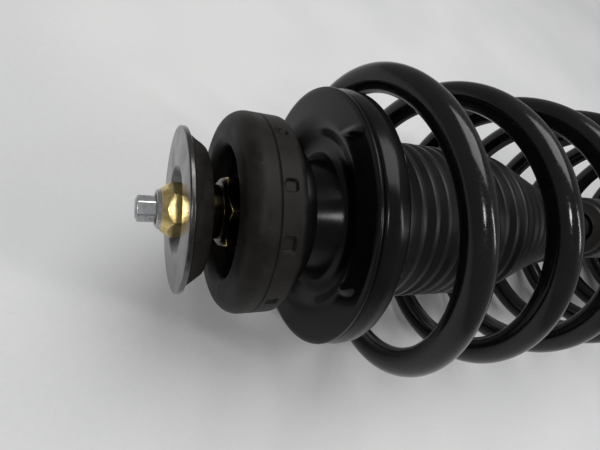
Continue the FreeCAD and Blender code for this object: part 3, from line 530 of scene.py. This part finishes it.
def moulded_ring(x, radius, angle):
    """The parting line wanders, and the pin pockets are pressed in."""
    outside = np.clip((radius - ring_radius + 3) / 2, 0, 1)
    x = x + step_wave(angle) * outside * np.exp(-((x - PARTING) / 1.5) ** 2)
    radius = radius - np.abs(ring_wave(angle)) * outside
    for place, turn, half_length, half_width, depth in PIN_POCKETS:
        along = np.abs(x - place) / half_length
        across = np.abs((angle - radians(turn) + pi) % tau - pi) * ring_radius / half_width
        inside = np.clip((1 - (along ** 4 + across ** 4)) * 3, 0, 1)
        radius = radius - depth * inside * (radius > ring_radius - 3)
    return x, radius


mount_ring = turned(
    "mount_ring", finely(ring_outline, 0.55), MOUNT_GROUP,
    moulded_rubber("ring_rubber", RUBBER_BROWN, RUBBER_GREY), 720, moulded_ring, sharp=60,
)
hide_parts("mount_rubber")


def gloss_black(
    name, tone=0.0025, rough=0.16, peel_mm=2.5, peel=0.02, dust_amount=0.1, shine=0.16, scuffs=0.0
):
    """Black gloss paint: slight orange peel, a few dull patches, and dust."""
    f = Finish(name, Specular_IOR_Level=shine)
    cloud = f.noise(25, 3, 0.6)
    dust = f.between(f.noise(1.4, 5, 0.8), 0.62, 0.76, 0, dust_amount)
    pale = (tone * 1.8, tone * 1.8, tone * 1.9)
    f.set(
        "Base Color",
        f.blend(
            dust, f.blend(f.between(cloud, 0.35, 0.65), (tone, tone, tone * 1.05), pale), (0.11, 0.085, 0.07)
        ),
    )
    streak = f.between(f.noise(1.1, 4, 0.7), 0.45, 0.7, 0, scuffs)
    f.set("Roughness", f.between(cloud, 0.3, 0.7, rough, rough + 0.1) + streak + dust * 0.6)
    f.bump(f.noise(peel_mm, 2, 0.5), peel, 0.5)
    return f.material


seat_paint = gloss_black("seat_paint")
core_outline = rounded([
    (core_front, 16.2, 0.6), (core_front, core_radius - 0.1, 2.0), (core_back - 0.1, core_radius - 0.1, 1.0),
    (core_back - 0.1, core_radius - 2.4, 0.8), (core_front + 2.5, core_radius - 2.5, 0.6),
    (core_front + 2.5, 16.2, 0.6),
])
mount_core = turned("mount_core_pressing", finely(core_outline, 2.5), MOUNT_GROUP, seat_paint, 180)
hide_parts("mount_core")

# ---------------------------------------------------------------------------------------------------
# Thrust bearing. Two hardened rings with sixteen balls in a plastic cage, a grease-dark steel inside
# the core, and a rubber lip ring pressed in behind it to keep the dirt out.
# ---------------------------------------------------------------------------------------------------


def ground_steel(name, base=(0.46, 0.46, 0.47), low=0.2, high=0.35):
    f = Finish(name, Metallic=1.0)
    cloud = f.noise(8, 3)
    grease = f.between(f.noise(5, 4, 0.6), 0.5, 0.7)
    f.set("Base Color", f.blend(grease * 0.6, base, (0.16, 0.12, 0.07)))
    f.set("Roughness", f.between(cloud, 0.3, 0.7, low, high))
    f.bump(f.noise(0.6, 2, 0.5, (1, 0.1, 0.1)), 0.02, 0.4)
    return f.material


def dull_plastic(name, base, pale):
    f = Finish(name, Specular_IOR_Level=0.4)
    cloud = f.noise(6, 4, 0.6)
    f.set("Base Color", f.blend(f.between(cloud, 0.35, 0.65), base, pale))
    f.set("Roughness", f.between(cloud, 0.3, 0.7, 0.45, 0.6))
    f.bump(f.noise(0.7, 3), 0.05, 0.4)
    return f.material


def dress(finish, *nodes):
    """Gives CAD nodes, whose shapes stand as they are, a finish."""
    for name in nodes:
        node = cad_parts[name]
        if not node.material_slots:
            node.data.materials.append(finish)
        for place in node.material_slots:
            place.material = finish


black_rubber = moulded_rubber("black_rubber", (0.009, 0.009, 0.009), (0.016, 0.0155, 0.015), 0.3)
dress(
    ground_steel("bearing_steel"), "bearing_upper_race", "bearing_lower_race", "bearing_balls",
    "upper_valve_discs", "lower_valve_discs",
)
dress(dull_plastic("cage_plastic", (0.50, 0.45, 0.33), (0.58, 0.53, 0.42)), "bearing_cage")
dress(black_rubber, "bearing_seal")

# ---------------------------------------------------------------------------------------------------
# Upper spring seat and spring cup. Two deep-drawn steel pressings spot welded back to back and dipped in
# gloss black. The seat's hub cone rises from a trough, and two darts pressed into its face stiffen the rim.
# ---------------------------------------------------------------------------------------------------
DARTS = ((-1, 29.5, 51.0, 35.0), (1, 27.0, 47.0, 32.0))  # side, start, end, offset from the middle line
seat_front, _, seat_radius = ends("upper_spring_seat")
SEAT_FACE = 30.5
seat_outline = rounded([
    (seat_front, 7.2), (seat_front + 0.05, 22.8, 5), (38.4, 30.6, 8), (38.4, 37.4, 8),
    (SEAT_FACE + 0.1, 45.4, 10),
    (SEAT_FACE, seat_radius - 2.2, 1), (SEAT_FACE + 0.5, seat_radius - 0.2, 0.9),
    (SEAT_FACE + 2.4, seat_radius - 0.2, 0.9),
    (SEAT_FACE + 2.5, 45.0, 3), (41, 41.2, 3), (41, 28.2, 3), (seat_front + 2.5, 20.8, 3),
    (seat_front + 2.5, 7.2),
], 8)


def darted(x, radius, angle):
    """Two teardrop darts, pointed inwards and wide at the rim, stand a little out of the face."""
    near, across = radius * np.cos(angle - FRONT_ANGLE), radius * np.sin(angle - FRONT_ANGLE)
    for side, start, end, offset in DARTS:
        along = np.clip((near - start) / (end - start), 0, 1)
        width = 2.6 * np.sin(pi * along ** 1.9) ** 0.6 + 0.01
        inside = np.clip(1 - ((side * across - offset + 3 * along) / width) ** 2, 0, 1)
        x = x - 1.4 * inside * np.sin(pi * along ** 1.6) * (radius > 40)
    return x, radius


seat = turned("spring_seat_pressing", finely(seat_outline, 0.9), ROD_GROUP, seat_paint, 720, darted)
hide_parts("upper_spring_seat")

cup_front, cup_back, cup_radius = ends("spring_cup")
cup_outline = rounded([
    (cup_front + 0.1, 46.2), (cup_front + 0.1, 58.8, 1.5), (cup_front + 1.6, cup_radius - 1.6, 2.5),
    (cup_front + 6.5, cup_radius - 0.1, 9),
    (cup_back - 1.2, cup_radius - 0.5, 1.2), (cup_back, cup_radius - 1.4, 0.5),
    (cup_back, cup_radius - 2.2, 0.4),
    (cup_front + 5, cup_radius - 2.5, 4), (cup_front + 2.2, 57.2, 1.5), (cup_front + 2.2, 46.2),
], 8)
cup = turned("spring_cup_pressing", finely(cup_outline, 1.5), ROD_GROUP, seat_paint, 240)
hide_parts("spring_cup")

isolator_front, isolator_back, isolator_radius = ends("upper_spring_isolator")
isolator_outline = rounded([
    (isolator_front, 46.6, 1), (isolator_front, isolator_radius - 2.0, 1),
    (cup_back - 0.6, isolator_radius - 0.1, 0.5),
    (isolator_back, isolator_radius - 0.4, 0.7), (isolator_back, 46.6, 1),
])
isolator = turned("upper_isolator_ring", finely(isolator_outline, 1.5), ROD_GROUP, black_rubber, 240)
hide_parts("upper_spring_isolator")

# ---------------------------------------------------------------------------------------------------
# Bump stop, its washer and the dust boot. The stop is yellow-brown microcellular foam with folding
# waists. The boot is a thin black moulded bellows with a mould line each side and a plain end collar.
# ---------------------------------------------------------------------------------------------------


def foam():
    f = Finish("stop_foam", Specular_IOR_Level=0.25)
    cloud = f.noise(7, 4, 0.6)
    pores = f.noise(0.6, 3, 0.8)
    f.set("Base Color", f.blend(f.between(cloud, 0.35, 0.65), (0.50, 0.42, 0.27), (0.40, 0.33, 0.20)))
    f.set("Roughness", f.between(pores, 0.3, 0.7, 0.75, 0.95))
    f.bump(pores, 0.15, 0.7)
    return f.material


stop_front, stop_back, stop_radius = ends("bump_stop")
NECK = 13.0
stop_ring = (stop_back - stop_front - NECK) / 3
stop_corners = [(stop_front, 11.7), (stop_front, 18.8, 1), (stop_front + NECK, 18.5, 2)]
for i in range(3):
    start = stop_front + NECK + stop_ring * i
    stop_corners += [
        (start + stop_ring * 0.25, stop_radius - i, 5), (start + stop_ring * 0.75, stop_radius - i, 5)
    ]
    stop_corners += [(start + stop_ring, stop_radius - 4 - i, 2)]
stop_corners += [(stop_back, 13, 2), (stop_back - 3, 11.7, 1)]
bump_stop = turned("bump_stop_foam", finely(rounded(stop_corners), 1.5), ROD_GROUP, foam(), 120)
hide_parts("bump_stop")
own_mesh(bump_stop)
dress(zinc(), "stop_washer")


def boot_black():
    f = Finish("boot_black", Specular_IOR_Level=0.3)
    cloud = f.noise(18, 4, 0.6)
    dust = f.between(f.noise(2.0, 5, 0.8), 0.62, 0.82, 0, 0.25)
    f.set(
        "Base Color",
        f.blend(
            dust,
            f.blend(f.between(cloud, 0.35, 0.65), (0.005, 0.005, 0.0055), (0.010, 0.010, 0.010)),
            (0.06, 0.057, 0.053),
        ),
    )
    f.set("Roughness", f.between(cloud, 0.3, 0.7, 0.34, 0.46) + dust * 0.3)
    f.bump(f.noise(1.2, 3), 0.05, 0.4)
    return f.material


boot_front, boot_back, boot_radius = ends("dust_boot")
FOLDS, TAPER_FOLDS, FLANGE, STRAIGHT, COLLAR = 18, 6, 3.0, 97.0, 13.0
BOOT_END = 26.0
BOOT_WALL = 1.6


def boot_side():
    """Crests and valleys down the boot's side, rounded as a blow moulding is."""
    straight = (STRAIGHT - FLANGE) / (FOLDS - TAPER_FOLDS)
    collar_start = boot_back - COLLAR
    taper = (collar_start - boot_front - STRAIGHT) / TAPER_FOLDS
    drop = (boot_radius - BOOT_END) / TAPER_FOLDS
    side = []
    for i in range(FOLDS - TAPER_FOLDS):
        fold = boot_front + FLANGE + straight * i
        side += [
            (fold + straight * 0.2, boot_radius - 0.1, 1.6), (fold + straight * 0.6, boot_radius - 0.1, 1.6)
        ]
        side += [(fold + straight * 0.8, boot_radius - 3.6, 0.8)]
    for i in range(TAPER_FOLDS):
        fold, crest = boot_front + STRAIGHT + taper * i, boot_radius - drop * i
        side += [(fold + taper * 0.2, crest - 0.1, 1.6), (fold + taper * 0.55, crest - drop * 0.3, 1.6)]
        side += [(fold + taper * 0.8, crest - drop * 0.6 - 1.5, 0.8)]
    return side, collar_start


side, collar_start = boot_side()
boot_outline = rounded(
    [(boot_front, 30.2), (boot_front, boot_radius - 1.2, 1), (boot_front + FLANGE, boot_radius - 3.6, 1)]
    + side
    + [(collar_start, BOOT_END - 0.9, 1), (boot_back - 3.6, BOOT_END - 0.9, 0.5),
       (boot_back - 3.0, BOOT_END - 0.1, 0.5),
       (boot_back - 0.1, BOOT_END - 0.1, 0.6), (boot_back - 0.1, BOOT_END - 1.8, 0.4),
       (collar_start, BOOT_END - 1.8, 0.5)]
    + [(x, r - BOOT_WALL, 0.8) for x, r, _ in reversed(side)]
    + [(boot_front + FLANGE + 0.4, boot_radius - 3.6 - BOOT_WALL, 0.8), (boot_front + 1.8, 30.2)], 4)


def mould_line(x, radius, angle):
    """The two halves of the boot's mould left a fine raised line down each side."""
    near = np.exp(-((np.abs((angle - radians(62) + pi / 2) % pi - pi / 2) * radius) / 0.35) ** 2)
    return x, radius + near * 0.09


boot = turned("boot_bellows", boot_outline, ROD_GROUP, boot_black(), 360, mould_line, sharp=60)
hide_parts("dust_boot")

# ---------------------------------------------------------------------------------------------------
# Coil spring. Cold-wound round spring steel, its end coils closed and the upper one drawn in, shot
# peened and coated in gloss black, with runs and a few chips in the coating.
# ---------------------------------------------------------------------------------------------------
TUBE_GROUP = "damper_tube"
WIRE_RADIUS = 7.07
COIL_RADIUS = 72.6
COIL_TIP_RADIUS = 54.0
COIL_PITCH = 52.2
COIL_START = radians(-65)
CLOSED_UPPER, CLOSED_LOWER, RAMP = 0.42, 0.75, 0.1
COIL_LEAN, COIL_LEAN_ANGLE = 2.4, radians(115)
WIRE_SIDES = 40

spring_front, spring_back, _ = ends("coil_spring")
upper_flat, lower_flat = spring_front + WIRE_RADIUS, spring_back - WIRE_RADIUS
turns_between = (lower_flat - upper_flat) / COIL_PITCH


def climbed(turn):
    """How far the wire has climbed, its slope coming in over a short ramp."""
    slow = COIL_PITCH * (turn + RAMP) ** 2 / (4 * RAMP)
    return np.where(turn <= -RAMP, 0, np.where(turn >= RAMP, COIL_PITCH * turn, slow))


def spring_points():
    turn = np.linspace(-CLOSED_UPPER, turns_between + CLOSED_LOWER, 1100)
    x = upper_flat + climbed(turn) - climbed(turn - turns_between)
    inward = np.clip((0.08 - turn) / (0.08 + CLOSED_UPPER), 0, 1)
    radius = COIL_RADIUS + (COIL_TIP_RADIUS - COIL_RADIUS) * inward * inward * (3 - 2 * inward)
    angle = COIL_START + tau * turn
    lean = COIL_LEAN * (lower_flat - x) / (lower_flat - upper_flat)
    sideways, upwards = lean * sin(COIL_LEAN_ANGLE), lean * cos(COIL_LEAN_ANGLE)
    middle = np.stack([x, -radius * np.sin(angle) - sideways, radius * np.cos(angle) + upwards], -1)
    way = np.gradient(middle, axis=0)
    way /= np.linalg.norm(way, axis=1)[:, None]
    out = np.stack([0 * x, -np.sin(angle), np.cos(angle)], -1)
    out -= way * np.einsum("ij,ij->i", way, out)[:, None]
    out /= np.linalg.norm(out, axis=1)[:, None]
    across = np.cross(way, out)
    round_wire = np.linspace(0, tau, WIRE_SIDES, endpoint=False)
    thick = np.full(len(turn), WIRE_RADIUS - 0.02)
    thick[[0, -1]] -= 0.9
    middle[0], middle[-1] = middle[1] - way[1] * 0.05, middle[-2] + way[-2] * 0.05
    outward, sideward = np.cos(round_wire)[None, :, None], np.sin(round_wire)[None, :, None]
    ring = outward * out[:, None] + sideward * across[:, None]
    return middle[:, None] + ring * thick[:, None, None]


spring_paint = gloss_black("spring_paint", 0.003, 0.08, 3.0, 0.07, 0.55, 0.34, 0.16)
spring = grid_piece("coil_spring_wire", spring_points(), TUBE_GROUP, spring_paint, closed=False, sharp=60)
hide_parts("coil_spring")
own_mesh(spring)

# ---------------------------------------------------------------------------------------------------
# Damper tube and its insides. A seamless steel tube, rolled in over the oil seal, with a brown-black
# dull finish. Inside are the guide, the pressure tube, the piston and the foot valve in plain steel.
# ---------------------------------------------------------------------------------------------------


def tube_coating(name, dark, pale, rough=0.38):
    f = Finish(name, Specular_IOR_Level=0.5, Metallic=0.0)
    cloud = f.noise(20, 4, 0.6)
    rub = f.between(f.noise(4, 5, 0.75, (0.3, 1, 1)), 0.62, 0.75)
    f.set(
        "Base Color",
        f.blend(rub * 0.4, f.blend(f.between(cloud, 0.35, 0.65), dark, pale), (0.20, 0.19, 0.18)),
    )
    f.set("Roughness", f.between(cloud, 0.3, 0.7, rough, rough + 0.14))
    f.bump(f.noise(1.5, 3), 0.06, 0.4)
    return f.material


tube_front, tube_back, tube_radius = ends("damper_tube")
tube_paint = tube_coating("tube_paint", (0.020, 0.020, 0.021), (0.034, 0.034, 0.035))
tube_outline = rounded([
    (tube_front, 15.1, 0.5), (tube_front, tube_radius, 1.8), (tube_back, tube_radius, 0.5),
    (tube_back, tube_radius - 2, 0.3),
    (tube_front + 2, tube_radius - 2, 0.4), (tube_front + 2, 15.1, 0.5),
])
tube = turned("tube_shell", finely(tube_outline, 12), TUBE_GROUP, tube_paint, 144)
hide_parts("damper_tube")

cap_front, cap_back, cap_radius = ends("tube_cap")
cap_outline = rounded([
    (cap_front, 12.1, 0.8), (cap_front, cap_radius - 1, 1.5), (cap_front + 1.5, cap_radius, 1.2),
    (cap_back, cap_radius, 0.4), (cap_back, 12.1, 0.5),
])
cap = turned(
    "tube_end_plate", finely(cap_outline, 1.5), TUBE_GROUP,
    tube_coating("cap_finish", (0.022, 0.018, 0.016), (0.042, 0.036, 0.032), 0.4), 144,
)
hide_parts("tube_cap")

plain_steel = ground_steel("plain_steel", (0.42, 0.42, 0.43), 0.28, 0.42)
sintered = ground_steel("sintered_steel", (0.26, 0.25, 0.24), 0.5, 0.65)
dress(black_rubber, "rod_seal", "rebound_bumper")
dress(sintered, "rod_guide", "piston", "foot_valve")
dress(plain_steel, "pressure_tube", "rebound_ring", "piston_nut")
dress(yellow_zinc("bush_bronze", -99), "rod_bushing")
dress(dull_plastic("band_plastic", (0.10, 0.08, 0.07), (0.13, 0.11, 0.09)), "piston_band")

# ---------------------------------------------------------------------------------------------------
# Lower spring seat. A pressed dish with a turned-up lip and a drain slot each side, MIG welded round its
# collar to the tube and painted with it. A rubber ring lies under the last coil.
# ---------------------------------------------------------------------------------------------------
low_front, low_back, low_radius = ends("lower_spring_seat")
LOW_FACE = 446.0
low_outline = rounded([
    (LOW_FACE - 7, tube_radius), (LOW_FACE - 7, 45.5, 4), (LOW_FACE, 58, 4),
    (LOW_FACE, low_radius - 3, 1.2), (low_front, low_radius - 3, 0.9),
    (low_front, low_radius - 0.1, 1.2), (LOW_FACE + 3, low_radius - 0.1, 3.5), (LOW_FACE + 3, 57, 4),
    (LOW_FACE - 4, 44.6, 4),
    (LOW_FACE - 4, 25.5, 2.5), (low_back, 25.4, 1), (low_back, tube_radius, 0.3),
], 8)
low_seat = turned("lower_seat_pressing", finely(low_outline, 2), TUBE_GROUP, tube_paint, 300)
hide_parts("lower_spring_seat")

low_ring_front, low_ring_back, low_ring_radius = ends("lower_spring_isolator")
low_ring_outline = rounded([(low_ring_front, 58.7, 1), (low_ring_front, low_ring_radius - 0.2, 1),
                            (low_ring_back, low_ring_radius - 0.2, 0.6), (low_ring_back, 58.7, 0.6)])
low_ring = turned("lower_isolator_ring", finely(low_ring_outline, 1.5), TUBE_GROUP, black_rubber, 240)
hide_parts("lower_spring_isolator")


def weld_ring(name, place, radius, size, start=0.0, end=tau):
    """A weld bead round the tube, laid as overlapping drops."""
    count = int(abs(end - start) * radius * 3)
    angle = np.linspace(start, end, count)
    ripple = 1 + 0.12 * np.abs(np.sin(angle * radius / 1.6))
    section = np.linspace(0, tau, 14, endpoint=False)
    x = place + size * 0.9 * ripple[:, None] * np.cos(section)[None, :]
    r = radius + size * 0.75 * ripple[:, None] * np.sin(section)[None, :]
    points = np.stack([x, -r * np.sin(angle)[:, None], r * np.cos(angle)[:, None]], -1)
    bead = grid_piece(name, points, TUBE_GROUP, tube_paint, closed=end - start > tau - 0.01, sharp=60)
    return bead


weld_ring("lower_seat_weld", low_back + 0.6, tube_radius + 0.8, 2.2)

# ---------------------------------------------------------------------------------------------------
# Knuckle bracket and hose tab. The bracket is folded from 4.5 mm plate round the tube and welded at its
# ends; two bolts through its ears clamp the knuckle. The tab is a small blanking with a grommet hole.
# ---------------------------------------------------------------------------------------------------
bracket_front, _, _ = ends("knuckle_bracket")
dress(tube_paint, "knuckle_bracket", "hose_bracket", "foot_cap")
for name in ("knuckle_bracket", "hose_bracket", "foot_cap"):
    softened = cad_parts[name].modifiers.new("softened_edges", "BEVEL")
    softened.width = 0.0004
    softened.segments = 2
    softened.limit_method = "ANGLE"
    softened.angle_limit = radians(40)
weld_ring("bracket_weld_upper", bracket_front - 0.6, tube_radius + 1.0, 2.2, radians(170), radians(370))
hose_front, _, _ = ends("hose_bracket")
weld_ring("hose_tab_weld", hose_front - 0.6, tube_radius + 0.6, 1.6, radians(-30), radians(30))

# ---------------------------------------------------------------------------------------------------
# Light and camera. A broad soft light overhead and to the far right, a window and a strip light near the
# camera for the glints, and a dim room. The camera is close, which makes the near pieces loom.
# ---------------------------------------------------------------------------------------------------
ELEVATION = radians(65)
LENS_MM = 23.957
TURN, ROLL, DROP, DISTANCE = radians(25.825), radians(1.834), -9.674 / 399.29, 0.197
AIM = Vector((0.0285, 0, 0))

along = Vector((1, 0, 0))
upward = Vector((0, sin(ELEVATION), cos(ELEVATION)))
toward = Vector((0, -cos(ELEVATION), sin(ELEVATION)))
right = along * (cos(TURN) * cos(ROLL)) + upward * sin(ROLL) + toward * (sin(TURN) * cos(ROLL))
down = along * (cos(TURN) * sin(ROLL)) - upward * cos(ROLL) + toward * (sin(TURN) * sin(ROLL))
ahead = along * sin(TURN) - toward * cos(TURN)
camera_data = bpy.data.cameras.new("camera")
camera_data.lens = LENS_MM
camera_data.sensor_width = 36
camera_data.clip_start = 0.01
camera_data.clip_end = 50
camera = bpy.data.objects.new("camera", camera_data)
place = AIM - (down * DROP + ahead) * DISTANCE
camera.matrix_world = Matrix.Translation(place) @ Matrix((right, -down, -ahead)).transposed().to_4x4()
bpy.context.scene.collection.objects.link(camera)
bpy.context.scene.camera = camera


def soft_light(name, spot, aim, size, power, colour=(1, 1, 1)):
    data = bpy.data.lights.new(name, "AREA")
    data.shape = "RECTANGLE"
    data.size, data.size_y = size
    data.energy = power
    data.color = colour
    light = bpy.data.objects.new(name, data)
    light.location = spot
    light.rotation_euler = (Vector(aim) - Vector(spot)).to_track_quat("-Z", "Y").to_euler()
    bpy.context.scene.collection.objects.link(light)


soft_light("ceiling", (0.3, 0.5, 1.6), (0.1, 0, 0), (1.2, 1.1), 18)
soft_light("window", (-0.27, -0.47, 0.97), (0.05, 0, 0), (0.15, 0.17), 2.3, (1, 0.99, 0.98))
soft_light("strip", (0.75, -0.45, 0.85), (0.15, 0, 0), (0.06, 0.5), 2.2)
world = bpy.data.worlds.new("room")
world.use_nodes = True
world.node_tree.nodes["Background"].inputs["Color"].default_value = (0.86, 0.86, 0.855, 1)
world.node_tree.nodes["Background"].inputs["Strength"].default_value = 0.33
bpy.context.scene.world = world
bpy.context.scene.view_settings.view_transform = "Standard"
